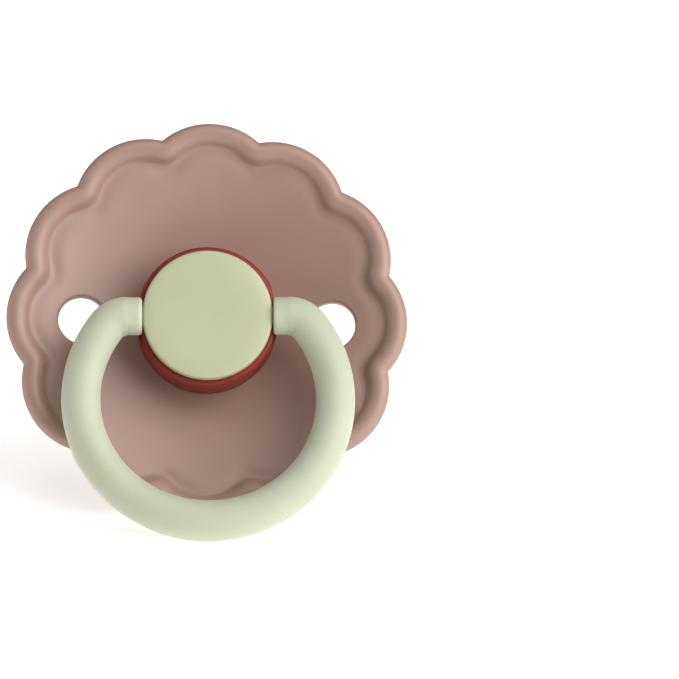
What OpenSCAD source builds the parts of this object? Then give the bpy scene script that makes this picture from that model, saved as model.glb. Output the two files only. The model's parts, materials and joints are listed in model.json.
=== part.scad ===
// Soother with a scalloped shield, a natural rubber nipple and a swinging D handle.
// It stands on a table, leaning back on its nipple, with the handle let down in front.
// Every piece is drawn in the shield's own frame, with +Z out of the front of the shield,
// +Y up the shield and Z = 0 at the back of its rim, and rest_on_table() then leans it back.

/* [Shield] */
// Distance from the middle of the shield to the tips of its scallops
shield_r = 22; // [19:0.5:28]
// Number of scallops round the edge
scallops = 12; // [10:2:14]
// Radius of one scallop
scallop_r = 8; // [7:0.25:9]
// Radius of the round bead along the edge
rim_bead_r = 1.05; // [0.8:0.05:1.3]
// Wall of the dished plate
shield_wall = 1.6; // [1.2:0.1:2]
// Height of the dome on the mouth side, behind the back of the rim
dome_h = 4.1; // [3.5:0.1:5.5]
// Radius of the two vent holes
vent_r = 2.6; // [2.1:0.05:3.2]
// Distance of each vent hole from the middle
vent_x = 13.75; // [12.5:0.05:14.5]
// Angle that the shield is turned on the knob, clockwise from the front
shield_turn = 1.4; // [0:0.2:5]

/* [Nipple] */
// Length of the nipple outside the shield
nipple_l = 27; // [24:0.5:34]
// Radius of the bulb
bulb_r = 7.1; // [5.9:0.05:8.6]
// Length of the rounded end, from the widest place to the tip
bulb_end = 7.6; // [7:0.1:9]
// Radius of the narrowest place of the neck
neck_r = 5; // [4.6:0.1:5.8]
// Distance of the narrowest place from the shield
neck_at = 10.8; // [9:0.1:12]
// Radius of the nipple where it leaves the shield
nipple_base_r = 5.35; // [5.1:0.01:6.5]
// Thickness of the rubber
rubber_t = 1; // [0.8:0.1:1.2]

/* [Knob] */
// Radius of the coloured collar
collar_r = 7.75; // [7.5:0.05:9.4]
// Height of the knob above its seat on the shield
knob_h = 7; // [6.5:0.1:8.5]
// Radius of the button cap
cap_r = 7.1; // [6.6:0.05:7.4]
// Thickness of the edge of the button cap
cap_t = 1.5; // [1.4:0.1:2]

/* [Handle] */
// Thickness of the round bar that the handle is made of
bar_d = 4.26; // [3.5:0.02:5.1]
// Distance from the inner end of each arm to the corner of the D, before it is rounded
arm_l = 2.8; // [2.4:0.1:6]
// Radius of the bend at each corner, at the middle of the bar
bend_r = 2.9; // [2.5:0.1:4]
// Distance that the ring stands past the tip of the shield
handle_overhang = 3.4; // [2.5:0.1:6]
// Radius of the pins in the knob
pin_r = 1; // [0.7:0.05:1.25]
// Length of each pin
pin_l = 2.6; // [1.6:0.1:2.7]

/* [Fits] */
// Gap round the pins, so that the handle swings
pin_gap = 0.05; // [0.03:0.01:0.1]
// Gap between pieces that are pressed together
fit_gap = 0.05; // [0.02:0.01:0.1]
// Gap between the button cap and the inner end of each arm
arm_gap = 0.2; // [0.15:0.05:0.4]

/* [Hidden] */
$fn = 96;
eps = 0.01;
far = 60;

// Scallops: each is a circle about scallop_at, and neighbours meet in a notch
scallop_pitch = 360 / scallops;
scallop_at = shield_r - scallop_r;
bead_lap = 0.1;

// Bead: its middle lies bead_at out at a tip and notch_at out in a notch
bead_at = shield_r - rim_bead_r;
notch_half = scallop_at * sin(scallop_pitch / 2);
notch_at = scallop_at * cos(scallop_pitch / 2) + sqrt(pow(scallop_r - rim_bead_r, 2) - pow(notch_half, 2));

// Dish: two spheres about dome_z, and the outer one comes level with the back of the rim at edge_at
edge_at = (bead_at + notch_at) / 2;
dome_r = (pow(edge_at, 2) + pow(dome_h, 2)) / (2 * dome_h);
dome_z = dome_r - dome_h;
dish_r = dome_r - shield_wall;
function dish_z(r) = dome_z - sqrt(pow(dish_r, 2) - pow(r, 2));

// Hub: the knob sits on a flat face, and the foot of the nipple is held in a recess below it
seat_z = dish_z(collar_r + fit_gap);
foot_lip = 1.05;
foot_r = nipple_base_r + foot_lip;
foot_t = 1;
recess_z = seat_z - foot_t;

// Knob: a collar with a button cap on it, and the handle's pins in the seam between them
cap_top = seat_z + knob_h;
seam_z = cap_top - cap_t;
cap_edge = 0.35;
plug_lip = 0.6;
plug_flange_r = nipple_base_r + plug_lip;
plug_flange_t = 0.9;
plug_room = plug_flange_t + fit_gap;
web_t = 1.2;
plug_wall = 1.3;
spigot_h = 2.4;
pin_wall = 0.6;
air_r = 0.6;

// Plug in the foot of the nipple, which keeps the rubber spread in the shield
plug_depth = 2.5;
plug_r = nipple_r(plug_depth) - rubber_t - fit_gap;
stem_r = plug_r - plug_wall - fit_gap;

// Handle: the arms end beside the cap, the ring's circle goes through both corners of the D,
// and a bend about (bend_x, -bend_r) joins them, so the ring starts at bend_turn
arm_x = cap_r + arm_gap;
corner_x = arm_x + arm_l;
ring_reach = shield_r + handle_overhang - bar_d / 2;
ring_r = (pow(corner_x, 2) + pow(ring_reach, 2)) / (2 * ring_reach);
ring_drop = ring_reach - ring_r;
bend_x = sqrt(pow(ring_r - bend_r, 2) - pow(ring_drop - bend_r, 2));
bend_turn = atan2(ring_drop - bend_r, bend_x);
knuckle = 0.02;
knuckle_t = 0.2;
channel_x = arm_x - pin_l - arm_gap;
spigot_r = channel_x - pin_wall;
flat_x = arm_x - arm_gap;
flat_z = seam_z - bar_d / 2 - arm_gap;

// Radius of the nipple at a distance u from the shield, as far as the middle of the bulb
bulb_at = nipple_l - bulb_end;
bulb_z = -dome_h - bulb_at;
function taper_r(u) = nipple_base_r + (neck_r - nipple_base_r) * u / neck_at;
function swell(u) = (1 - cos(180 * (u - neck_at) / (bulb_at - neck_at))) / 2;
function nipple_r(u) = u < neck_at ? taper_r(u) : neck_r + (bulb_r - neck_r) * swell(u);

// Outline of the nipple, thinned by t all over, from the shield to the tip
body_steps = 24;
end_steps = 14;
function nipple_side(t) = concat(
    [for (i = [0:body_steps]) [nipple_r(bulb_at * i / body_steps) - t, -dome_h - bulb_at * i / body_steps]],
    [for (i = [1:end_steps - 1]) end_point(90 * i / end_steps, t)],
    [[0, bulb_z - bulb_end + t]]
);
function end_point(a, t) = [(bulb_r - t) * cos(a), bulb_z - (bulb_end - t) * sin(a)];
function backwards(list) = [for (i = [len(list) - 1:-1:0]) list[i]];

// Lean: the angle at which the rim and the bulb touch the table together
function bulb_reach(a) = sqrt(pow(bulb_r * cos(a), 2) + pow(bulb_end * sin(a), 2)) - bulb_z * sin(a);
low_bead_at = scallop_at * cos(shield_turn) + scallop_r - rim_bead_r;
function rim_reach(a) = low_bead_at * cos(a) - rim_bead_r * sin(a) + rim_bead_r;
function lean_between(low, high, tries) =
    let (mid = (low + high) / 2)
    tries == 0 ? mid
    : bulb_reach(mid) < rim_reach(mid) ? lean_between(mid, high, tries - 1)
    : lean_between(low, mid, tries - 1);
lean = lean_between(10, 70, 30);
middle_h = rim_reach(lean);

// Handle let down until its ring touches the table, measured from straight down
axle_h = middle_h + seam_z * sin(lean);
handle_out = acos((axle_h - bar_d / 2) / ring_reach);
handle_turn = handle_out - lean;

// Front and back of the whole, from the middle of the rim, which set the origin between them
front_y = -seam_z * cos(lean) - ring_reach * sin(handle_out) - bar_d / 2;
back_y = sqrt(pow(bulb_r * sin(lean), 2) + pow(bulb_end * cos(lean), 2)) - bulb_z * cos(lean);
middle_y = -(front_y + back_y) / 2;

// Leans the soother back and stands it on Z = 0, with the origin under the middle of its box
module rest_on_table() {
    translate([0, middle_y, middle_h])
        rotate([90 - lean, 0, 0])
            children();
}

// Puts a copy of a piece at each of the two sides
module both_sides() {
    children();
    mirror([1, 0, 0]) children();
}

// Petals of the given radius about every scallop's middle, filled in between them
module petals(r) {
    circle(r = scallop_at);
    for (i = [0:scallops - 1])
        rotate(90 + i * scallop_pitch) translate([scallop_at, 0]) circle(r = r);
}

// One scallop's length of the bead, mitred in the notch at each end with a little lap
module bead_arc() {
    mitre = tan(scallop_pitch / 2 + bead_lap);
    intersection() {
        translate([scallop_at, 0, rim_bead_r])
            rotate_extrude()
                translate([scallop_r - rim_bead_r, 0])
                    circle(r = rim_bead_r);
        translate([0, 0, -far / 2])
            linear_extrude(far)
                polygon([
                    [scallop_at, -scallop_at * mitre],
                    [far, -far * mitre],
                    [far, far * mitre],
                    [scallop_at, scallop_at * mitre]
                ]);
    }
}

// Plate between the two spheres, with the flat seat of the knob filled in
module dished_plate() {
    rotate_extrude() {
        difference() {
            intersection() {
                translate([0, dome_z]) circle(r = dome_r);
                translate([0, -far / 2]) square([shield_r, far / 2 + 2 * rim_bead_r]);
            }
            translate([0, dome_z]) circle(r = dish_r);
        }
        intersection() {
            translate([0, dome_z]) circle(r = dome_r);
            translate([0, seat_z - far / 2]) square([collar_r + fit_gap, far / 2]);
        }
    }
}

// Moulded shield: the dished plate, its beaded edge, two vent holes and the hub's bore
module shield() {
    color("rosybrown") rest_on_table() rotate([0, 0, -shield_turn]) difference() {
        union() {
            intersection() {
                dished_plate();
                translate([0, 0, -far / 2])
                    linear_extrude(far) petals(scallop_r - rim_bead_r);
            }
            for (i = [0:scallops - 1])
                rotate([0, 0, 90 + i * scallop_pitch]) bead_arc();
        }
        both_sides() translate([vent_x, 0, -far / 2]) cylinder(r = vent_r, h = far);
        translate([0, 0, -far / 2]) cylinder(r = nipple_base_r + fit_gap, h = far);
        translate([0, 0, recess_z]) cylinder(r = foot_r + fit_gap, h = far);
    }
}

// Hollow dipped nipple with a foot that is trapped in the shield's recess
module nipple() {
    outside = concat(
        [[foot_r, seat_z - fit_gap], [foot_r, recess_z + fit_gap], [nipple_base_r, recess_z + fit_gap]],
        nipple_side(0)
    );
    inside = concat([[nipple_base_r - rubber_t, seat_z - fit_gap]], nipple_side(rubber_t));
    color("goldenrod") rest_on_table()
        rotate_extrude()
            polygon(concat(outside, backwards(inside)));
}

// Flanged sleeve pushed into the foot of the nipple
module nipple_plug() {
    color("honeydew") rest_on_table() difference() {
        union() {
            translate([0, 0, seat_z]) cylinder(r = plug_flange_r, h = plug_flange_t);
            translate([0, 0, -dome_h - plug_depth])
                cylinder(r = plug_r, h = dome_h + plug_depth + seat_z + eps);
        }
        translate([0, 0, -far / 2]) cylinder(r = stem_r + fit_gap, h = far);
    }
}

// Coloured collar with a hollow stem through the plug and a half bearing for each pin
module hub_collar() {
    color("sienna") rest_on_table() difference() {
        union() {
            translate([0, 0, seat_z]) cylinder(r = collar_r, h = seam_z - seat_z);
            translate([0, 0, -dome_h - plug_depth]) cylinder(r = stem_r, h = dome_h + plug_depth);
        }
        translate([0, 0, seat_z - eps]) difference() {
            cylinder(r = plug_flange_r + fit_gap, h = plug_room + eps);
            translate([0, 0, -eps]) cylinder(r = stem_r, h = far);
        }
        translate([0, 0, seat_z + plug_room + web_t]) cylinder(r = spigot_r + fit_gap, h = far);
        translate([0, 0, -far / 2]) cylinder(r = air_r, h = far);
        both_sides() {
            translate([flat_x, -collar_r, flat_z]) cube([far, 2 * collar_r, far]);
            pin_channel();
        }
    }
}

// Room for one pin and its end clearance
module pin_channel() {
    translate([channel_x, 0, seam_z])
        rotate([0, 90, 0])
            cylinder(r = pin_r + pin_gap, h = far);
}

// Button cap with a rounded edge, a half bearing over each pin and a spigot in the collar
module button_cap() {
    color("beige") rest_on_table() difference() {
        rotate_extrude() {
            translate([0, seam_z]) square([cap_r, cap_t - cap_edge]);
            translate([0, seam_z]) square([cap_r - cap_edge, cap_t]);
            translate([cap_r - cap_edge, cap_top - cap_edge]) circle(r = cap_edge);
            translate([0, seam_z - spigot_h]) square([spigot_r, spigot_h + eps]);
        }
        both_sides() pin_channel();
    }
}

// Bar of the handle, bent to radius r, all the way round
module bar_ring(r) {
    rotate_extrude() translate([r, 0]) circle(r = bar_d / 2);
}

// Thin disc that joins two lengths of the bar, and stands just proud of them
module bar_knuckle() {
    rotate([90, 0, 0]) cylinder(r = bar_d / 2 + knuckle, h = knuckle_t, center = true);
}

// Prism over a fan from the origin, between two angles less than 180 apart
module fan(from, to) {
    translate([0, 0, -far / 2])
        linear_extrude(far)
            polygon([[0, 0], far * [cos(from), sin(from)], far * [cos(to), sin(to)]]);
}

// D handle: the ring, its two bends and arms, and their pins, let down from the knob's seam
module handle() {
    color("honeydew") rest_on_table() translate([0, 0, seam_z]) rotate([-handle_turn, 0, 0]) {
        translate([0, -ring_drop, 0]) difference() {
            bar_ring(ring_r);
            fan(bend_turn, 180 - bend_turn);
        }
        for (turn = [bend_turn, 180 - bend_turn])
            translate([0, -ring_drop, 0]) rotate(turn) translate([ring_r, 0, 0]) bar_knuckle();
        both_sides() {
            translate([bend_x, -bend_r, 0]) intersection() {
                bar_ring(bend_r);
                fan(bend_turn, 90);
            }
            translate([bend_x, 0, 0]) rotate(90) bar_knuckle();
            translate([arm_x, 0, 0]) rotate([0, 90, 0]) cylinder(r = bar_d / 2, h = bend_x - arm_x);
            translate([arm_x - pin_l, 0, 0]) rotate([0, 90, 0]) cylinder(r = pin_r, h = pin_l + eps);
        }
    }
}

shield();
nipple();
nipple_plug();
hub_collar();
button_cap();
handle();
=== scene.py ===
"""Baby pacifier: a scalloped shield, a natural rubber nipple, a round knob and a swinging handle.

Laid out as an add-on and run as a script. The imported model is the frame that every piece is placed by.
"""

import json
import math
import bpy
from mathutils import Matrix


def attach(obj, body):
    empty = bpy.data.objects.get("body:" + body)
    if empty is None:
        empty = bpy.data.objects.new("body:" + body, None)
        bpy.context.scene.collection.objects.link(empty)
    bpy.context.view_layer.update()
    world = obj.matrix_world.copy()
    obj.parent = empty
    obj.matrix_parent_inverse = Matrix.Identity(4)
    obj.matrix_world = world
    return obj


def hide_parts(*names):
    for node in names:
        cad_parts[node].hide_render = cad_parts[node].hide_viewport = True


bl_info = {
    "name": "Baby Pacifier",
    "version": (1, 0, 0),
    "blender": (4, 5, 0),
    "location": "View3D > Sidebar > Pacifier",
    "description": "Builds the pieces of a baby pacifier, their finishes and a plain stage for it",
    "category": "Object",
}

import bpy
from bpy.props import FloatProperty, FloatVectorProperty, IntProperty, PointerProperty
from mathutils import Matrix, Vector

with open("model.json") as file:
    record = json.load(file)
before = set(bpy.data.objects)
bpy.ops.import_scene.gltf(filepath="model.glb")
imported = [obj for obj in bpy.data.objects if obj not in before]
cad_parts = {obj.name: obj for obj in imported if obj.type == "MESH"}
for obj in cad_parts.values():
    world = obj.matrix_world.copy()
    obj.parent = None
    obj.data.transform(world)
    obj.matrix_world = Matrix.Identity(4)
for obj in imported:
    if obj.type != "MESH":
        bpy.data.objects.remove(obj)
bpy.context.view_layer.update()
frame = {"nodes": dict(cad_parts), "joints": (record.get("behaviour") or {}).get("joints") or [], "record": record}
MM = 0.001

# ---------------------------------------------------------------------------------------------
# Colours
# ---------------------------------------------------------------------------------------------


def linear(hex_colour):
    """An sRGB hex colour as linear red, green, blue and alpha."""
    channels = [int(hex_colour[i : i + 2], 16) / 255 for i in (0, 2, 4)]
    return [c / 12.92 if c <= 0.04045 else ((c + 0.055) / 1.055) ** 2.4 for c in channels] + [1.0]


def colour_property(name, description, hex_colour):
    return FloatVectorProperty(
        name=name,
        description=description,
        subtype="COLOR",
        size=4,
        min=0.0,
        max=1.0,
        default=linear(hex_colour),
    )


def length_property(name, description, millimetres, lowest=0.0):
    return FloatProperty(
        name=name,
        description=description,
        unit="LENGTH",
        min=lowest,
        precision=5,
        default=millimetres * MM,
    )


def angle_property(name, description, degrees):
    return FloatProperty(name=name, description=description, subtype="ANGLE", default=math.radians(degrees))


# ---------------------------------------------------------------------------------------------
# Settings
# ---------------------------------------------------------------------------------------------


class ShieldSizes(bpy.types.PropertyGroup):
    """Sizes of the moulded shield"""

    radius: length_property("Radius", "From the middle to the tips of the scallops", 22)
    scallops: IntProperty(name="Scallops", description="Number of scallops round the edge", default=12)
    scallop_radius: length_property("Scallop radius", "Radius of one scallop", 8)
    notch_radius: length_property("Notch radius", "Rounding at the bottom of each notch", 0.3)
    rim_height: length_property("Rim height", "From the back of the rim to the top of its bead", 2.1)
    wall: length_property("Wall", "Thickness of the dished plate", 1.6)
    dome_height: length_property("Dome height", "Height of the dome behind the back of the rim", 4.1)
    vent_radius: length_property("Vent radius", "Radius of each vent hole", 2.6)
    vent_distance: length_property("Vent distance", "From the middle of the shield to each vent hole", 13.75)
    vent_round: length_property("Vent rounding", "Rounding of the edges of each vent hole", 0.35)


class NippleSizes(bpy.types.PropertyGroup):
    """Sizes of the hollow rubber nipple"""

    length: length_property("Length", "From the shield to the tip", 27)
    bulb_radius: length_property("Bulb radius", "Radius of the widest place", 7.1)
    bulb_end: length_property("Bulb end", "From the widest place to the tip", 7.6)
    neck_radius: length_property("Neck radius", "Radius of the narrowest place", 5)
    neck_distance: length_property("Neck distance", "From the shield to the narrowest place", 10.8)
    base_radius: length_property("Base radius", "Radius where the nipple leaves the shield", 5.35)
    rubber: length_property("Rubber", "Thickness of the rubber", 1)


class KnobSizes(bpy.types.PropertyGroup):
    """Sizes of the collar and the button cap on it"""

    collar_radius: length_property("Collar radius", "Radius of the coloured collar", 7.75)
    height: length_property("Height", "From the seat on the shield to the face of the cap", 7)
    cap_radius: length_property("Cap radius", "Radius of the button cap", 7.1)
    cap_thickness: length_property("Cap thickness", "Thickness of the cap at its edge", 1.5)
    channel_start: length_property("Channel start", "From the middle to the start of a pin's channel", 4.5)
    cap_round: length_property("Cap rounding", "Rounding of the edge of the cap", 0.4)


class HandleSizes(bpy.types.PropertyGroup):
    """Sizes of the D handle"""

    ring_bar: length_property("Ring bar", "Thickness of the bar round the ring", 4.26)
    arm_bar: length_property("Arm bar", "Thickness of the bar at the arms", 4.14)
    arm_length: length_property("Arm length", "From the inner end of each arm to the corner of the D", 2.94)
    bend_radius: length_property("Bend radius", "Radius of each corner, at the middle of the bar", 2.9)
    arm_gap: length_property("Arm gap", "Between the cap and the inner end of each arm", 0.06)
    bottom_swell: length_property("Bottom swell", "Extra thickness at the bottom of the ring", 0.18)
    play: length_property("Play", "How far to the right the handle has slid in its play", 0.03)
    end_round: length_property("End rounding", "Rounding of the inner end of each arm", 0.35)
    pin_radius: length_property("Pin radius", "Radius of the pins in the knob", 1)
    pin_length: length_property("Pin length", "Length of each pin", 2.5)


class FinishColours(bpy.types.PropertyGroup):
    """Colours of the mouldings and of the rubber"""

    shield: colour_property("Shield", "Dusty pink of the shield", "A07F72")
    collar: colour_property("Collar", "Terracotta of the collar", "802A18")
    cap: colour_property("Cap", "Pale yellow-green of the cap and the plug", "B6B998")
    handle: colour_property("Handle", "Pale grey-green of the handle", "B9BFA8")
    rubber: colour_property("Rubber", "Cream of the rubber where it is thin", "FBE9BE")
    rubber_depth: colour_property("Rubber depth", "Amber of the rubber where light goes deep", "E99C38")


class StageSettings(bpy.types.PropertyGroup):
    """Camera, floor and lights"""

    azimuth: angle_property("Azimuth", "Camera's place round the pacifier, from straight in front", -2.7)
    elevation: angle_property("Elevation", "Camera's height above the horizon", 19.9)
    roll: angle_property("Roll", "Turn of the camera about its own line of sight", 0.8)
    distance: length_property("Distance", "From the camera to the middle of the shield", 500)
    aim_right: length_property("Aim to the right", "How far right of the shield's middle it points", 14.6)
    aim_up: length_property("Aim up", "How far above the shield's middle it points", -1.75, lowest=-1.0)
    lens: FloatProperty(name="Lens", description="Focal length in mm, on a 36 mm sensor", default=241.0)
    floor: colour_property("Floor", "Plain pale floor", "F4F3F2")


class PacifierSettings(bpy.types.PropertyGroup):
    """All that a user would change"""

    shield: PointerProperty(type=ShieldSizes)
    nipple: PointerProperty(type=NippleSizes)
    knob: PointerProperty(type=KnobSizes)
    handle: PointerProperty(type=HandleSizes)
    colours: PointerProperty(type=FinishColours)
    stage: PointerProperty(type=StageSettings)


def settings():
    return bpy.context.scene.pacifier


# ---------------------------------------------------------------------------------------------
# The shield's curves, in its own frame: Z out of the front, Y up, Z = 0 at the back of the rim
# ---------------------------------------------------------------------------------------------

BEAD_MIDDLE = 1.05 * MM  # from the edge to the top of the bead
FIT = 0.05 * MM  # clearance between pieces that fit in one another


def dish_spheres():
    """Radius of the dome, radius of the dish and the height of the middle of both. The dome comes
    level with the back of the rim half-way between the bead at the tips and at the notches."""
    s = settings().shield
    petals_at = s.radius - s.scallop_radius
    half_pitch = math.pi / s.scallops
    across = petals_at * math.sin(half_pitch)
    bead_radius = s.scallop_radius - BEAD_MIDDLE
    bead_notch = petals_at * math.cos(half_pitch) + math.sqrt(bead_radius**2 - across**2)
    edge = (s.radius - BEAD_MIDDLE + bead_notch) / 2
    dome = (edge**2 + s.dome_height**2) / (2 * s.dome_height)
    return dome, dome - s.wall, dome - s.dome_height


def dish_height(radius):
    _, dish, middle = dish_spheres()
    return middle - math.sqrt(dish**2 - radius**2)


def seat_height():
    """Height of the flat face that the knob sits on."""
    return dish_height(settings().knob.collar_radius + FIT)


def cap_top():
    return seat_height() + settings().knob.height


def seam_height():
    """Height of the seam between the collar and the cap, where the handle's pins lie."""
    return cap_top() - settings().knob.cap_thickness


# ---------------------------------------------------------------------------------------------
# Places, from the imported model
# ---------------------------------------------------------------------------------------------


def mount(name):
    return next(m for m in frame["record"]["mounts"] if m["name"] == name)


def knob_place():
    """Where the shield's own frame stands, before the shield is turned on the knob."""
    face = mount("button_face")
    front = Vector(face["axis"]).normalized()
    across = Vector((1, 0, 0))
    up = front.cross(across)
    middle = Vector(face["pos_m"]) - front * cap_top()
    return Matrix.Translation(middle) @ Matrix((across, up, front)).transposed().to_4x4()


def shield_place():
    """Where the shield stands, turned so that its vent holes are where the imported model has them."""
    vent = knob_place().inverted() @ Vector(mount("vent_right")["pos_m"])
    return knob_place() @ Matrix.Rotation(math.atan2(vent.y, vent.x), 4, "Z")


def handle_place():
    """Where the handle's own frame stands: its middle on the axle, with the ring along -Y."""
    axle = Vector(frame["joints"][0]["pos_m"])
    across = Vector((1, 0, 0))
    up = (axle - Vector(mount("handle_ring")["pos_m"])).normalized()
    return Matrix.Translation(axle) @ Matrix((across, up, across.cross(up))).transposed().to_4x4()


def ring_reach():
    """Distance from the axle to the middle of the bar at the bottom of the ring."""
    return (Vector(frame["joints"][0]["pos_m"]) - Vector(mount("handle_ring")["pos_m"])).length


# ---------------------------------------------------------------------------------------------
# Modelling steps
# ---------------------------------------------------------------------------------------------

SAME_POINT = 0.001 * MM  # points nearer than this are merged
SLIVER = 0.002 * MM  # edges and faces narrower than this are dissolved
NEAR = 0.01 * MM  # how exactly points and faces are picked by their place
TURNED_STEPS = 128
BAR_SIDES = 48


def deselect():
    if bpy.context.object and bpy.context.object.mode != "OBJECT":
        bpy.ops.object.mode_set(mode="OBJECT")
    bpy.ops.object.select_all(action="DESELECT")


def pick(piece):
    """Makes a piece the only selected and the active object."""
    deselect()
    piece.select_set(True)
    bpy.context.view_layer.objects.active = piece


def select_points(piece, wanted):
    """Selects, in edit mode, the points whose places pass the test."""
    bpy.ops.mesh.select_mode(type="VERT")
    bpy.ops.mesh.select_all(action="DESELECT")
    bpy.ops.object.mode_set(mode="OBJECT")
    for point in piece.data.vertices:
        point.select = wanted(point.co)
    bpy.ops.object.mode_set(mode="EDIT")


def select_faces(piece, wanted):
    """Selects, in edit mode, the faces whose middles pass the test."""
    bpy.ops.mesh.select_mode(type="FACE")
    bpy.ops.mesh.select_all(action="DESELECT")
    bpy.ops.object.mode_set(mode="OBJECT")
    for face in piece.data.polygons:
        face.select = wanted(face.center)
    bpy.ops.object.mode_set(mode="EDIT")


def clean_skin():
    """Merges doubled points, drops what that leaves of edges with no face, and turns every face outwards."""
    bpy.ops.mesh.select_all(action="SELECT")
    bpy.ops.mesh.remove_doubles(threshold=SAME_POINT)
    bpy.ops.mesh.delete_loose()
    bpy.ops.mesh.select_all(action="SELECT")
    bpy.ops.mesh.normals_make_consistent(inside=False)


def turned(name, profile):
    """Spins a closed profile of (radius, height) points about Z into a solid."""
    deselect()
    bpy.ops.mesh.primitive_plane_add(size=MM, location=(0, 0, 0))
    piece = bpy.context.object
    piece.name = name
    bpy.ops.object.mode_set(mode="EDIT")
    bpy.ops.mesh.select_all(action="SELECT")
    bpy.ops.mesh.merge(type="CENTER")
    bpy.ops.transform.translate(value=(profile[0][0], 0, profile[0][1]))
    for (r0, z0), (r1, z1) in zip(profile, profile[1:] + profile[:1]):
        bpy.ops.mesh.extrude_region_move(TRANSFORM_OT_translate={"value": (r1 - r0, 0, z1 - z0)})
    bpy.ops.mesh.select_all(action="SELECT")
    bpy.ops.mesh.spin(steps=TURNED_STEPS, angle=2 * math.pi, center=(0, 0, 0), axis=(0, 0, 1))
    clean_skin()
    bpy.ops.object.mode_set(mode="OBJECT")
    return piece


def cut_with(piece, cutter):
    """Cuts the cutter out of the piece and removes the cutter."""
    pick(piece)
    cut = piece.modifiers.new("cut", "BOOLEAN")
    cut.operation = "DIFFERENCE"
    cut.solver = "EXACT"
    cut.object = cutter
    bpy.ops.object.modifier_apply(modifier=cut.name)
    bpy.ops.object.mode_set(mode="EDIT")
    bpy.ops.mesh.select_all(action="SELECT")
    bpy.ops.mesh.dissolve_degenerate(threshold=SLIVER)
    clean_skin()
    bpy.ops.object.mode_set(mode="OBJECT")
    pick(cutter)
    bpy.ops.object.delete()
    pick(piece)


def set_in_place(piece, place, crease_degrees=30):
    """Moves a piece from its own frame to where it stands, and smooths it but for its sharp edges."""
    pick(piece)
    piece.matrix_world = place
    bpy.ops.object.transform_apply(location=True, rotation=True, scale=True)
    bpy.ops.object.shade_smooth_by_angle(angle=math.radians(crease_degrees))


def arc(middle, radius, start, end, steps):
    """Points on an arc about (radius, height), from one angle to another in degrees, both ends included."""
    turns = [math.radians(start + (end - start) * i / steps) for i in range(steps + 1)]
    return [(middle[0] + radius * math.cos(a), middle[1] + radius * math.sin(a)) for a in turns]


def smooth_step(x):
    """Runs from 0 to 1 as x does, level at both ends."""
    x = min(max(x, 0.0), 1.0)
    return x * x * (3 - 2 * x)


# ---------------------------------------------------------------------------------------------
# Finishes
# ---------------------------------------------------------------------------------------------


def add_node(tree, kind, values=None, links=None):
    """Adds a node, sets its properties and sockets by name, and links its sockets from (node, socket)."""
    node = tree.nodes.new(kind)
    for key, value in (values or {}).items():
        if key in node.inputs:
            node.inputs[key].default_value = value
        else:
            setattr(node, key, value)
    for key, (source, socket) in (links or {}).items():
        tree.links.new(source.outputs[socket], node.inputs[key])
    return node


def blank_material(name):
    """A material with only its output node, and its tree."""
    material = bpy.data.materials.new(name)
    material.use_nodes = True
    material.node_tree.nodes.clear()
    return material, material.node_tree


def shade(colour, factor):
    return [c * factor for c in colour[:3]] + [1.0]


def wear(piece, material):
    """Gives a piece one finish all over."""
    piece.data.materials.clear()
    piece.data.materials.append(material)


def moulded_polypropylene(name, colour, roughness, sheen, glow, depth_mm):
    """Injection moulded polypropylene: soft satin sheen, light that sinks in a little at the edges,
    slight clouding of the pigment, and a fine spark-eroded grain. The real grain is about 0.05 mm,
    which is too fine to show, so it is drawn coarser."""
    cloud_size, grain_size = 9 * MM, 0.35 * MM
    material, tree = blank_material(name)
    place = add_node(tree, "ShaderNodeTexCoord")
    cloud = add_node(
        tree,
        "ShaderNodeTexNoise",
        {"Scale": 1 / cloud_size, "Detail": 3.0, "Roughness": 0.55},
        {"Vector": (place, "Object")},
    )
    grain = add_node(
        tree,
        "ShaderNodeTexNoise",
        {"Scale": 1 / grain_size, "Detail": 2.0, "Roughness": 0.6},
        {"Vector": (place, "Object")},
    )
    pigment = add_node(tree, "ShaderNodeValToRGB", {}, {"Fac": (cloud, "Fac")})
    pigment.color_ramp.elements[0].position = 0.25
    pigment.color_ramp.elements[0].color = shade(colour, 0.95)
    pigment.color_ramp.elements[1].position = 0.75
    pigment.color_ramp.elements[1].color = shade(colour, 1.04)
    gloss = add_node(
        tree,
        "ShaderNodeMapRange",
        {"To Min": roughness - 0.04, "To Max": roughness + 0.05},
        {"Value": (grain, "Fac")},
    )
    bump = add_node(
        tree, "ShaderNodeBump", {"Strength": 0.12, "Distance": 0.02 * MM}, {"Height": (grain, "Fac")}
    )
    surface = add_node(
        tree,
        "ShaderNodeBsdfPrincipled",
        {
            "IOR": 1.49,
            "Specular IOR Level": sheen,
            "Subsurface Weight": glow,
            "Subsurface Radius": (1.0, 0.7, 0.55),
            "Subsurface Scale": depth_mm * MM,
        },
        {"Base Color": (pigment, "Color"), "Roughness": (gloss, "Result"), "Normal": (bump, "Normal")},
    )
    add_node(tree, "ShaderNodeOutputMaterial", {}, {"Surface": (surface, "BSDF")})
    return material


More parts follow.
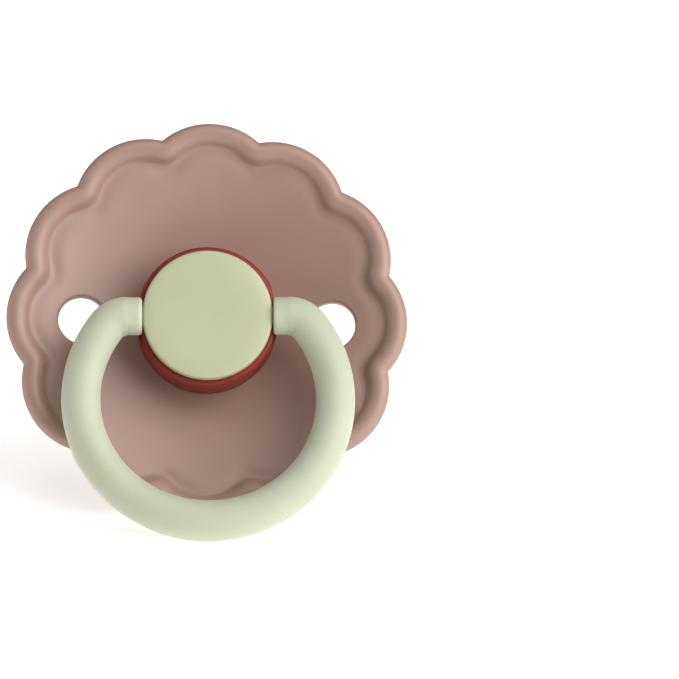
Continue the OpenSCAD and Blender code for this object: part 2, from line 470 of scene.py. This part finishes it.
def dipped_latex(name, thin_colour, deep_colour):
    """Natural rubber latex, dipped and cured: smooth, cloudy and see-through, cream where it is thin
    and amber where light goes far through it, with faint streaks from draining."""
    streak_size = 4 * MM
    material, tree = blank_material(name)
    place = add_node(tree, "ShaderNodeTexCoord")
    drained = add_node(
        tree, "ShaderNodeMapping", {"Scale": (1.0, 0.35, 0.35)}, {"Vector": (place, "Object")}
    )
    streaks = add_node(
        tree,
        "ShaderNodeTexNoise",
        {"Scale": 1 / streak_size, "Detail": 2.0, "Roughness": 0.5},
        {"Vector": (drained, "Vector")},
    )
    cloud = add_node(tree, "ShaderNodeValToRGB", {}, {"Fac": (streaks, "Fac")})
    cloud.color_ramp.elements[0].position = 0.3
    cloud.color_ramp.elements[0].color = shade(thin_colour, 0.96)
    cloud.color_ramp.elements[1].position = 0.7
    cloud.color_ramp.elements[1].color = shade(thin_colour, 1.0)
    gloss = add_node(
        tree, "ShaderNodeMapRange", {"To Min": 0.22, "To Max": 0.3}, {"Value": (streaks, "Fac")}
    )
    bump = add_node(
        tree, "ShaderNodeBump", {"Strength": 0.1, "Distance": 0.05 * MM}, {"Height": (streaks, "Fac")}
    )
    surface = add_node(
        tree,
        "ShaderNodeBsdfPrincipled",
        {
            "IOR": 1.52,
            "Transmission Weight": 0.4,
            "Subsurface Weight": 1.0,
            "Subsurface Radius": (1.0, 0.6, 0.25),
            "Subsurface Scale": 1.5 * MM,
        },
        {"Base Color": (cloud, "Color"), "Roughness": (gloss, "Result"), "Normal": (bump, "Normal")},
    )
    depth = add_node(tree, "ShaderNodeVolumeAbsorption", {"Color": list(deep_colour), "Density": 290.0})
    add_node(
        tree, "ShaderNodeOutputMaterial", {}, {"Surface": (surface, "BSDF"), "Volume": (depth, "Volume")}
    )
    return material


def pink_finish():
    name, colour = "dusty_pink_moulded_polypropylene", settings().colours.shield
    return moulded_polypropylene(name, colour, roughness=0.46, sheen=0.7, glow=0.1, depth_mm=0.5)


def terracotta_finish():
    name, colour = "terracotta_moulded_polypropylene", settings().colours.collar
    return moulded_polypropylene(name, colour, roughness=0.4, sheen=0.3, glow=0.1, depth_mm=0.5)


def cap_finish():
    """One finish for the cap and the plug, made once."""
    name, colour = "yellow_green_moulded_polypropylene", settings().colours.cap
    made = bpy.data.materials.get(name)
    return made or moulded_polypropylene(name, colour, roughness=0.42, sheen=0.5, glow=0.5, depth_mm=0.8)


def handle_finish():
    name, colour = "grey_green_moulded_polypropylene", settings().colours.handle
    return moulded_polypropylene(name, colour, roughness=0.5, sheen=0.4, glow=0.8, depth_mm=2.5)


# ---------------------------------------------------------------------------------------------
# Shield
# ---------------------------------------------------------------------------------------------

PETAL_STEPS = 10  # columns on half a scallop's arc
NOTCH_STEPS = 4  # columns on half a notch
HALF_STEPS = PETAL_STEPS + NOTCH_STEPS
SCALLOP_STEPS = 2 * HALF_STEPS
EDGE_DEPTH = 0.8 * MM  # from the edge to the middle of its rounding on the mouth side
RIM_DEPTH = 2.7 * MM  # from the edge to where its scallops begin to fade out
FAR_INSIDE = 1.0  # a depth from the edge at which nothing of the rim is felt
BEAD_ROWS = 15
DISH_ROWS = 24
SEAT_ROWS = 4
VENT_ROWS = (4, 19)  # the first and the last row of the dish beside each vent hole
VENT_SCALLOPS = (9, 3)  # the scallops that point to the right and to the left
FOOT_WIDTH = 1.05 * MM  # how far the foot of the nipple stands out from its base
RECESS_DEPTH = 1.0 * MM  # of the step in the shield that holds the foot


def rim_point(step, depth):
    """A point of one scallop's outline, moved inwards by depth. Steps run from -HALF_STEPS at one
    notch through 0 at the tip to HALF_STEPS at the other. The arc of the scallop runs into a small
    hollow arc at each notch, and both keep their middles, so the outline softens as it goes inwards."""
    s = settings().shield
    petals_at = s.radius - s.scallop_radius
    half_pitch = math.pi / s.scallops
    reach = s.scallop_radius + s.notch_radius
    across = petals_at * math.sin(half_pitch)
    hollow_at = petals_at * math.cos(half_pitch) + math.sqrt(reach**2 - across**2)
    hollow = Vector((hollow_at * math.cos(half_pitch), hollow_at * math.sin(half_pitch)))
    meeting = math.atan2(hollow.y, hollow.x - petals_at)
    along = abs(step)
    if along <= PETAL_STEPS:
        a = meeting * along / PETAL_STEPS
        point = Vector((petals_at, 0)) + (s.scallop_radius - depth) * Vector((math.cos(a), math.sin(a)))
    else:
        a = meeting + (half_pitch - meeting) * (along - PETAL_STEPS) / NOTCH_STEPS
        point = hollow - (s.notch_radius + depth) * Vector((math.cos(a), math.sin(a)))
    return Vector((point.x, math.copysign(point.y, step) if step else 0.0))


def shield_columns():
    """For every column round the shield: its step in its scallop and the turn of that scallop."""
    pitch = 2 * math.pi / settings().shield.scallops
    return [
        (step, math.pi / 2 + scallop * pitch)
        for scallop in range(settings().shield.scallops)
        for step in range(-HALF_STEPS, HALF_STEPS)
    ]


def outline(depth):
    """The whole scalloped outline, moved inwards by depth."""
    return [Matrix.Rotation(turn, 2) @ rim_point(step, depth) for step, turn in shield_columns()]


def shield_surfaces():
    """Functions for the height of the dish and of the dome at a distance from the middle and a depth
    from the edge. The bead falls inwards along part of an ellipse and then straight, and meets the
    dish, with its shallow gutter beside the bead, in a rounded corner. The back of the dome is drawn
    out near the edge, so that it comes to the rim at the same level all the way round."""
    s = settings().shield
    dome, _, middle = dish_spheres()
    edge_level, spread = -0.025 * MM, 5.5 * MM
    level_radius = math.sqrt(dome**2 - (middle - edge_level) ** 2)
    bead_width, bead_rise, blend = 1.4 * MM, 1.5 * MM, 0.6 * MM
    straight_from = 0.9
    gutter, gutter_depth, gutter_spread = 0.38 * MM, 2.3 * MM, 2.2 * MM

    def dish(radius, depth=FAR_INSIDE):
        low = dish_height(radius) - gutter * (1 - smooth_step((depth - gutter_depth) / gutter_spread))
        past = max(depth - BEAD_MIDDLE, 0) / bead_width
        curved = min(past, straight_from)
        slope = curved / math.sqrt(1 - curved**2)
        high = s.rim_height - bead_rise * (1 - math.sqrt(1 - curved**2) + slope * (past - curved))
        near = max(blend - abs(high - low), 0) / blend
        return max(high, low) + near**2 * blend / 4

    def back(radius, depth=FAR_INSIDE, edge_radius=0.0):
        pull = 1 - smooth_step((depth - EDGE_DEPTH) / spread)
        return middle - math.sqrt(dome**2 - (radius + (level_radius - edge_radius) * pull) ** 2)

    return dish, back


def rim_section():
    """(depth, height) down the rim, from the dome round the mouth side, up the wall with its fine
    parting line, and over the bead."""
    rim_height = settings().shield.rim_height
    rounding = arc((EDGE_DEPTH, 0.68 * MM), 0.65 * MM, 244, 180, 8)
    below_line = [(0.11, 0.85), (0.075, 1.0), (0.055, 1.12), (0.05, 1.15)]
    parting_line = [(0.0, 1.165), (0.0, 1.215), (0.045, 1.23), (0.05, 1.25)]
    wall = [(depth * MM, height * MM) for depth, height in below_line + parting_line]
    bead_out, bead_up = BEAD_MIDDLE - 0.05 * MM, rim_height - 1.2 * MM
    bead = [
        (BEAD_MIDDLE - bead_out * math.cos(a), rim_height - bead_up + bead_up * math.sin(a))
        for a in (math.radians(t) for t in range(10, 91, 10))
    ]
    return rounding + wall + bead


def shield_rows():
    """Rings of points that run from the bore over the dome, round the rim and down the dish to the bore."""
    dish, back = shield_surfaces()
    edge = [p.length for p in outline(EDGE_DEPTH)]
    rim_start = outline(RIM_DEPTH)
    seat_radius = settings().knob.collar_radius + FIT
    bore = settings().nipple.base_radius + FIT
    recess = bore + FOOT_WIDTH
    soft, chamfer = 0.25 * MM, 0.1 * MM
    mouth_side_depths = (2.7, 2.4, 2.1, 1.8, 1.5, 1.2, 0.95, 0.75)

    def between(share):
        """A ring between the rim and the seat of the knob, with its depth from the edge."""
        ring = [p * (1 + (seat_radius / p.length - 1) * share) for p in rim_start]
        return ring, [RIM_DEPTH + (p.length - q.length) for p, q in zip(rim_start, ring)]

    def circle(radius, height):
        return [(p.x / p.length * radius, p.y / p.length * radius, height) for p in rim_start]

    # Out of the bore, under the knob and over the dome
    rows = []
    bore_back = back(bore + soft)
    for a in (90, 67, 45, 22):
        t = math.radians(a)
        rows.append(circle(bore + soft - soft * math.sin(t), bore_back + soft - soft * math.cos(t)))
    for i in range(SEAT_ROWS):
        radius = bore + soft + (seat_radius - bore - soft) * i / SEAT_ROWS
        rows.append(circle(radius, back(radius)))
    back_rows = {}
    for i in range(DISH_ROWS, 0, -1):
        ring, depths = between(i / DISH_ROWS)
        back_rows[i] = len(rows)
        rows.append([(p.x, p.y, back(p.length, d, e)) for p, d, e in zip(ring, depths, edge)])
    back_rows[0] = len(rows)
    # Round the rim to the far side of the bead
    for depth in (mm * MM for mm in mouth_side_depths):
        rows.append([(p.x, p.y, back(p.length, depth, e)) for p, e in zip(outline(depth), edge)])
    for depth, height in rim_section():
        rows.append([(p.x, p.y, height) for p in outline(depth)])
    for i in range(1, BEAD_ROWS):
        depth = BEAD_MIDDLE + (RIM_DEPTH - BEAD_MIDDLE) * i / BEAD_ROWS
        rows.append([(p.x, p.y, dish(p.length, depth)) for p in outline(depth)])
    # Down the dish, over the seat of the knob and into the step for the nipple's foot
    front_rows = {}
    for i in range(DISH_ROWS + 1):
        ring, depths = between(i / DISH_ROWS)
        front_rows[i] = len(rows)
        rows.append([(p.x, p.y, dish(p.length, d)) for p, d in zip(ring, depths)])
    seat = seat_height()
    rows.append(circle(recess + chamfer, seat))
    rows.append(circle(recess, seat - chamfer))
    rows.append(circle(recess, seat - RECESS_DEPTH))
    rows.append(circle(bore, seat - RECESS_DEPTH))
    return rows, front_rows, back_rows


def vent_hole(points, faces, border_front, border_back, turn):
    """Fills the gap left in the dish and in the dome with rings that close in on a round hole, rounds
    the hole's edges and joins the two faces through the wall."""
    s = settings().shield
    dish, back = shield_surfaces()
    middle = Matrix.Rotation(turn, 2) @ Vector((s.vent_distance, 0))
    mouth = s.vent_radius + s.vent_round
    away = [Vector(points[i][:2]) - middle for i in border_front]
    shares = (0.86, 0.7, 0.53, 0.36, 0.22, 0.11, 0.04, 0.0)

    def flat_rings(height):
        """Rings that close in from the border of the gap to the mouth of the hole."""
        rings = []
        for share in shares:
            ring = []
            for v in away:
                p = middle + v.normalized() * (mouth + (v.length - mouth) * share)
                ring.append((p.x, p.y, height(p.length)))
            rings.append(ring)
        return rings

    def edge_rings(height, side):
        """Rings that turn over the rounded edge of the hole into the wall."""
        rings = []
        for t in (math.radians(a) for a in range(15, 91, 15)):
            ring = []
            for v in away:
                lip = middle + v.normalized() * mouth
                p = middle + v.normalized() * (mouth - s.vent_round * math.sin(t))
                ring.append((p.x, p.y, height(lip.length) - side * s.vent_round * (1 - math.cos(t))))
            rings.append(ring)
        return rings

    rings = [list(border_front)]
    tube = flat_rings(dish) + edge_rings(dish, 1)
    tube += (flat_rings(back) + edge_rings(back, -1))[::-1]
    for ring in tube:
        rings.append(list(range(len(points), len(points) + len(ring))))
        points.extend(ring)
    rings.append(list(border_back))
    count = len(border_front)
    for a, b in zip(rings, rings[1:]):
        faces.extend((a[i], a[(i + 1) % count], b[(i + 1) % count], b[i]) for i in range(count))


def build_shield():
    """The shield's edge is a run of arcs whose section keeps its shape along them, which no spin or
    bevel gives, so its skin is laid row by row, in two sheets with the rim and the vent holes between."""
    rows, front_rows, back_rows = shield_rows()
    columns = shield_columns()
    width = len(columns)
    points = [point for row in rows for point in row]
    first, last = VENT_ROWS
    vents = [scallop * SCALLOP_STEPS for scallop in VENT_SCALLOPS]
    left_out = set()
    for table in (front_rows, back_rows):
        low, high = sorted((table[first], table[last]))
        for start in vents:
            gap = [(start + k) % width for k in range(SCALLOP_STEPS)]
            left_out |= {(row, column) for row in range(low, high) for column in gap}
    faces = []
    for row in range(len(rows)):
        after = (row + 1) % len(rows)
        for k in range(width):
            if (row, k) not in left_out:
                m = (k + 1) % width
                faces.append((row * width + k, row * width + m, after * width + m, after * width + k))

    def border(table, start):
        """The points round the gap for a vent hole, in order."""
        steps = [(first, k) for k in range(SCALLOP_STEPS)]
        steps += [(i, SCALLOP_STEPS) for i in range(first, last)]
        steps += [(last, k) for k in range(SCALLOP_STEPS, 0, -1)]
        steps += [(i, 0) for i in range(last, first, -1)]
        return [table[i] * width + (start + k) % width for i, k in steps]

    for start in vents:
        turn = columns[start][1]
        vent_hole(points, faces, border(front_rows, start), border(back_rows, start), turn)
    mesh = bpy.data.meshes.new("shield_visual")
    mesh.from_pydata(points, [], faces)
    piece = bpy.data.objects.new("shield_visual", mesh)
    bpy.context.scene.collection.objects.link(piece)
    pick(piece)
    bpy.ops.object.mode_set(mode="EDIT")
    clean_skin()
    bpy.ops.object.mode_set(mode="OBJECT")
    set_in_place(piece, shield_place(), 40)
    return piece


# ---------------------------------------------------------------------------------------------
# Nipple
# ---------------------------------------------------------------------------------------------


def nipple_side(inset):
    """(radius, height) down one side of the nipple to its tip, drawn inset from the outside."""
    n = settings().nipple
    shield_back = -settings().shield.dome_height
    bulb_at = n.length - n.bulb_end
    side_steps, tip_steps = 32, 18
    side = []
    for i in range(side_steps + 1):
        u = bulb_at * i / side_steps
        if u < n.neck_distance:
            radius = n.base_radius + (n.neck_radius - n.base_radius) * u / n.neck_distance
        else:
            swell = (1 - math.cos(math.pi * (u - n.neck_distance) / (bulb_at - n.neck_distance))) / 2
            radius = n.neck_radius + (n.bulb_radius - n.neck_radius) * swell
        side.append((radius - inset, shield_back - u))
    for i in range(1, tip_steps + 1):
        a = math.pi / 2 * i / tip_steps
        radius = 0.0 if i == tip_steps else (n.bulb_radius - inset) * math.cos(a)
        side.append((radius, shield_back - bulb_at - (n.bulb_end - inset) * math.sin(a)))
    return side


def build_nipple():
    """A hollow dipped skin with a foot, turned from its outline."""
    n = settings().nipple
    top = seat_height() - FIT
    under = seat_height() - RECESS_DEPTH + FIT
    foot = n.base_radius + FOOT_WIDTH
    soft = 0.15 * MM
    outside = [(foot - soft, top), (foot, top - soft), (foot, under + soft), (foot - soft, under)]
    outside += [(n.base_radius, under)] + nipple_side(0)
    inside = nipple_side(n.rubber)[::-1] + [(n.base_radius - n.rubber, top)]
    piece = turned("nipple_visual", outside + inside)
    set_in_place(piece, knob_place(), 40)
    return piece


# ---------------------------------------------------------------------------------------------
# Knob
# ---------------------------------------------------------------------------------------------

SPIGOT_RADIUS = 3.9 * MM  # of the cap's spigot, which presses into the collar


def cut_pin_channels(piece):
    """Cuts the half bearing for each pin, from the side of the knob inwards along its seam."""
    h, knob = settings().handle, settings().knob
    for side in (-1, 1):
        deselect()
        bpy.ops.mesh.primitive_cylinder_add(
            vertices=BAR_SIDES,
            radius=h.pin_radius + FIT,
            depth=knob.collar_radius,
            location=(side * (knob.channel_start + knob.collar_radius / 2), 0, seam_height()),
            rotation=(0, math.pi / 2, 0),
        )
        cut_with(piece, bpy.context.object)


def build_collar():
    """A turned collar with a stem, with two flats and two half bearings for the arms and the pins."""
    knob, handle, base_radius = settings().knob, settings().handle, settings().nipple.base_radius
    seat, seam, r = seat_height(), seam_height(), knob.collar_radius
    soft, shoulder = 0.18 * MM, 0.5 * MM
    stem, stem_end = base_radius - 2.48 * MM, -settings().shield.dome_height - 2.5 * MM
    flange, hollow_top = base_radius + 0.65 * MM, seat + 0.95 * MM
    air_hole, socket, socket_floor = 0.6 * MM, SPIGOT_RADIUS + FIT, 0.26 * MM
    profile = [(air_hole, stem_end), (air_hole, socket_floor), (socket, socket_floor), (socket, seam)]
    profile += arc((r - shoulder, seam - shoulder), shoulder, 90, 0, 8)
    profile += arc((r - soft, seat + soft), soft, 0, -90, 4)
    profile += [(flange, seat), (flange, hollow_top), (stem, hollow_top), (stem, stem_end)]
    piece = turned("hub_collar_visual", profile)
    block, block_edge = 20 * MM, 0.3 * MM
    flat_x = knob.cap_radius + block / 2
    flat_z = seam - handle.ring_bar / 2 - handle.arm_gap + block / 2
    for side in (-1, 1):
        deselect()
        bpy.ops.mesh.primitive_cube_add(size=block, location=(side * flat_x, 0, flat_z))
        cutter = bpy.context.object
        bpy.ops.object.mode_set(mode="EDIT")
        bpy.ops.mesh.select_all(action="SELECT")
        bpy.ops.mesh.bevel(offset=block_edge, segments=3, affect="EDGES")
        bpy.ops.object.mode_set(mode="OBJECT")
        cut_with(piece, cutter)
    cut_pin_channels(piece)
    set_in_place(piece, knob_place())
    return piece


def build_cap():
    """A turned button cap with a faintly domed face that falls off near its edge, and a spigot."""
    knob = settings().knob
    top, seam, r, soft = cap_top(), seam_height(), knob.cap_radius, knob.cap_round
    dome, fall, foot, spigot_end = 0.04 * MM, 0.14 * MM, 0.12 * MM, seam - 2.4 * MM
    steps, fall_power = 20, 12
    flat = r - soft
    face = [
        (flat * out, top - dome * out**2 - fall * out**fall_power)
        for out in (i / steps for i in range(steps + 1))
    ]
    edge = arc((flat, face[-1][1] - soft), soft, 72, 0, 7)
    under = [(r, seam + foot), (r - foot, seam), (SPIGOT_RADIUS, seam), (SPIGOT_RADIUS, spigot_end)]
    piece = turned("button_cap_visual", face + edge + under + [(0, spigot_end)])
    cut_pin_channels(piece)
    set_in_place(piece, knob_place())
    return piece


# ---------------------------------------------------------------------------------------------
# Handle
# ---------------------------------------------------------------------------------------------


def build_handle():
    """A round bar: drawn out for one arm, spun round one bend, the ring and the other bend, and drawn
    out for the other arm, with a pin set in each rounded end."""
    h, knob = settings().handle, settings().knob
    arm_x = knob.cap_radius + h.arm_gap
    corner_x = arm_x + h.arm_length
    reach = ring_reach()
    ring = (corner_x**2 + reach**2) / (2 * reach)
    drop = reach - ring
    bend_x = math.sqrt((ring - h.bend_radius) ** 2 - (drop - h.bend_radius) ** 2)
    bend_turn = math.atan2(drop - h.bend_radius, bend_x)
    deselect()
    bpy.ops.mesh.primitive_circle_add(
        vertices=BAR_SIDES, radius=h.ring_bar / 2, location=(arm_x, 0, 0), rotation=(0, math.pi / 2, 0)
    )
    piece = bpy.context.object
    piece.name = "handle_visual"
    bpy.ops.object.transform_apply(location=True, rotation=True, scale=True)
    bpy.ops.object.mode_set(mode="EDIT")
    bpy.ops.mesh.select_all(action="SELECT")
    straight = (bend_x - arm_x) / 2
    bend = math.pi / 2 - bend_turn
    bend_steps, ring_steps = 14, 110
    turns = (
        (bend_x, h.bend_radius, bend, bend_steps),
        (0, drop, math.pi + 2 * bend_turn, ring_steps),
        (-bend_x, h.bend_radius, bend, bend_steps),
    )
    for _ in range(2):
        bpy.ops.mesh.extrude_edges_move(TRANSFORM_OT_translate={"value": (straight, 0, 0)})
    for x, below, turn, steps in turns:
        bpy.ops.mesh.spin(steps=steps, angle=turn, center=(x, -below, 0), axis=(0, 0, 1))
    for _ in range(2):
        bpy.ops.mesh.extrude_edges_move(TRANSFORM_OT_translate={"value": (straight, 0, 0)})
    # The arms are slimmer than the ring, and the ring grows inwards at its bottom
    slim = h.arm_bar / h.ring_bar
    select_points(piece, lambda p: abs(p.x) < bend_x + NEAR and abs(p.y) < h.ring_bar)
    bpy.ops.transform.resize(value=(1, slim, slim), center_override=(0, 0, 0))
    select_points(piece, lambda p: p.y < -drop and math.hypot(p.x, p.y + drop) < ring - NEAR)
    swell = 1 - h.bottom_swell / (ring - h.ring_bar / 2)
    bpy.ops.transform.resize(value=(1, swell, 1), center_override=(0, -drop, 0))
    bpy.ops.mesh.select_all(action="SELECT")
    bpy.ops.mesh.fill_holes(sides=0)
    clean_skin()

    def select_end(side):
        """Selects the round face in the middle of an arm's end, and not the rounding about it."""
        end_x, close = side * arm_x, h.end_round / 2
        select_faces(piece, lambda p: abs(p.x - end_x) < NEAR and math.hypot(p.y, p.z) < close)

    pin_soft = 0.1 * MM
    for side in (-1, 1):
        select_end(side)
        bpy.ops.mesh.region_to_loop()
        bpy.ops.mesh.bevel(offset=h.end_round, segments=6, affect="EDGES")
        select_end(side)
        bpy.ops.mesh.inset(thickness=h.arm_bar / 2 - h.end_round - h.pin_radius)
        bpy.ops.mesh.extrude_region_move(TRANSFORM_OT_translate={"value": (-side * h.pin_length, 0, 0)})
        bpy.ops.mesh.inset(thickness=pin_soft)
        bpy.ops.transform.translate(value=(-side * pin_soft / 2, 0, 0))
    clean_skin()
    bpy.ops.object.mode_set(mode="OBJECT")
    set_in_place(piece, handle_place() @ Matrix.Translation((h.play, 0, 0)))
    return piece


# ---------------------------------------------------------------------------------------------
# Stage
# ---------------------------------------------------------------------------------------------


def floor_finish():
    """Matt white paper lit from below as on a light table, with a faint mottle."""
    mottle_size = 30 * MM
    material, tree = blank_material("matt_white_paper")
    place = add_node(tree, "ShaderNodeTexCoord")
    mottle = add_node(
        tree, "ShaderNodeTexNoise", {"Scale": 1 / mottle_size, "Detail": 2.0}, {"Vector": (place, "Object")}
    )
    tone = add_node(tree, "ShaderNodeValToRGB", {}, {"Fac": (mottle, "Fac")})
    colour = settings().stage.floor
    tone.color_ramp.elements[0].color = shade(colour, 0.99)
    tone.color_ramp.elements[1].color = shade(colour, 1.0)
    surface = add_node(
        tree,
        "ShaderNodeBsdfPrincipled",
        {
            "Roughness": 0.9,
            "Specular IOR Level": 0.1,
            "Emission Color": (1.0, 1.0, 1.0, 1.0),
            "Emission Strength": 0.6,
        },
        {"Base Color": (tone, "Color")},
    )
    add_node(tree, "ShaderNodeOutputMaterial", {}, {"Surface": (surface, "BSDF")})
    return material


def build_floor():
    deselect()
    bpy.ops.mesh.primitive_plane_add(size=6.0, location=(0, 0, 0))
    floor = bpy.context.object
    floor.name = "floor"
    wear(floor, floor_finish())


def softbox(name, place, size, watts):
    """A square area light aimed at the middle of the pacifier."""
    middle = Vector((0, 0, 20 * MM))
    bpy.ops.object.light_add(type="AREA", location=place)
    light = bpy.context.object
    light.name = name
    light.data.size = size
    light.data.energy = watts
    light.rotation_euler = (middle - Vector(place)).to_track_quat("-Z", "Y").to_euler()


def build_lights():
    deselect()
    softbox("key_softbox", place=(0.82, -0.55, 0.6), size=1.1, watts=15.5)
    softbox("top_softbox", place=(0.15, -0.3, 1.2), size=1.2, watts=5.5)
    softbox("fill_softbox", place=(-1.0, 0.1, 0.3), size=0.8, watts=3.0)
    world = bpy.data.worlds.new("studio")
    bpy.context.scene.world = world
    world.use_nodes = True
    world.node_tree.nodes.clear()
    glow = add_node(world.node_tree, "ShaderNodeBackground", {"Color": (1.0, 1.0, 1.0, 1.0), "Strength": 0.1})
    add_node(world.node_tree, "ShaderNodeOutputWorld", {}, {"Surface": (glow, "Background")})
    bpy.context.scene.view_settings.view_transform = "Standard"


def build_camera():
    stage = settings().stage
    azimuth, elevation = stage.azimuth, stage.elevation
    right = Vector((math.cos(azimuth), math.sin(azimuth), 0))
    level = math.cos(elevation)
    back = Vector((math.sin(azimuth) * level, -math.cos(azimuth) * level, math.sin(elevation)))
    up = back.cross(right)
    target = knob_place().translation + right * stage.aim_right + up * stage.aim_up
    turn = Matrix((right, up, back)).transposed() @ Matrix.Rotation(stage.roll, 3, "Z")
    deselect()
    bpy.ops.object.camera_add(location=target + back * stage.distance)
    camera = bpy.context.object
    camera.rotation_euler = turn.to_euler()
    camera.data.lens = stage.lens
    camera.data.sensor_width = 36.0
    camera.data.clip_start = 0.01
    camera.data.clip_end = 20.0
    bpy.context.scene.camera = camera


# ---------------------------------------------------------------------------------------------
# Operators and panel
# ---------------------------------------------------------------------------------------------


class PACIFIER_OT_shield(bpy.types.Operator):
    """Builds the scalloped shield"""

    bl_idname = "pacifier.shield"
    bl_label = "Shield"

    def execute(self, context):
        piece = build_shield()
        wear(piece, pink_finish())
        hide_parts("shield")
        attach(piece, "shield_body")
        return {"FINISHED"}


class PACIFIER_OT_nipple(bpy.types.Operator):
    """Builds the rubber nipple and finishes the plug inside it"""

    bl_idname = "pacifier.nipple"
    bl_label = "Nipple"

    def execute(self, context):
        piece = build_nipple()
        colours = settings().colours
        wear(piece, dipped_latex("dipped_natural_rubber_latex", colours.rubber, colours.rubber_depth))
        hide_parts("nipple")
        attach(piece, "shield_body")
        wear(frame["nodes"]["nipple_plug"], cap_finish())
        return {"FINISHED"}


class PACIFIER_OT_knob(bpy.types.Operator):
    """Builds the coloured collar and the button cap"""

    bl_idname = "pacifier.knob"
    bl_label = "Knob"

    def execute(self, context):
        collar = build_collar()
        wear(collar, terracotta_finish())
        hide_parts("hub_collar")
        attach(collar, "shield_body")
        cap = build_cap()
        wear(cap, cap_finish())
        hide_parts("button_cap")
        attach(cap, "shield_body")
        return {"FINISHED"}


class PACIFIER_OT_handle(bpy.types.Operator):
    """Builds the swinging D handle"""

    bl_idname = "pacifier.handle"
    bl_label = "Handle"

    def execute(self, context):
        piece = build_handle()
        wear(piece, handle_finish())
        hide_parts("handle")
        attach(piece, "handle_body")
        return {"FINISHED"}


class PACIFIER_OT_stage(bpy.types.Operator):
    """Lays the floor and sets the lights and the camera"""

    bl_idname = "pacifier.stage"
    bl_label = "Stage"

    def execute(self, context):
        build_floor()
        build_lights()
        build_camera()
        return {"FINISHED"}


class PACIFIER_PT_panel(bpy.types.Panel):
    """Lists the steps that build the pacifier"""

    bl_idname = "PACIFIER_PT_panel"
    bl_label = "Pacifier"
    bl_space_type = "VIEW_3D"
    bl_region_type = "UI"
    bl_category = "Pacifier"

    def draw(self, context):
        for step in STEPS:
            self.layout.operator(step.bl_idname)


STEPS = (
    PACIFIER_OT_shield,
    PACIFIER_OT_nipple,
    PACIFIER_OT_knob,
    PACIFIER_OT_handle,
    PACIFIER_OT_stage,
)
CLASSES = (
    ShieldSizes,
    NippleSizes,
    KnobSizes,
    HandleSizes,
    FinishColours,
    StageSettings,
    PacifierSettings,
    *STEPS,
    PACIFIER_PT_panel,
)


def register():
    for cls in CLASSES:
        bpy.utils.register_class(cls)
    bpy.types.Scene.pacifier = PointerProperty(type=PacifierSettings)


def unregister():
    del bpy.types.Scene.pacifier
    for cls in reversed(CLASSES):
        bpy.utils.unregister_class(cls)


def main():
    register()
    bpy.ops.pacifier.shield()
    bpy.ops.pacifier.nipple()
    bpy.ops.pacifier.knob()
    bpy.ops.pacifier.handle()
    bpy.ops.pacifier.stage()


if __name__ == "__main__":
    main()
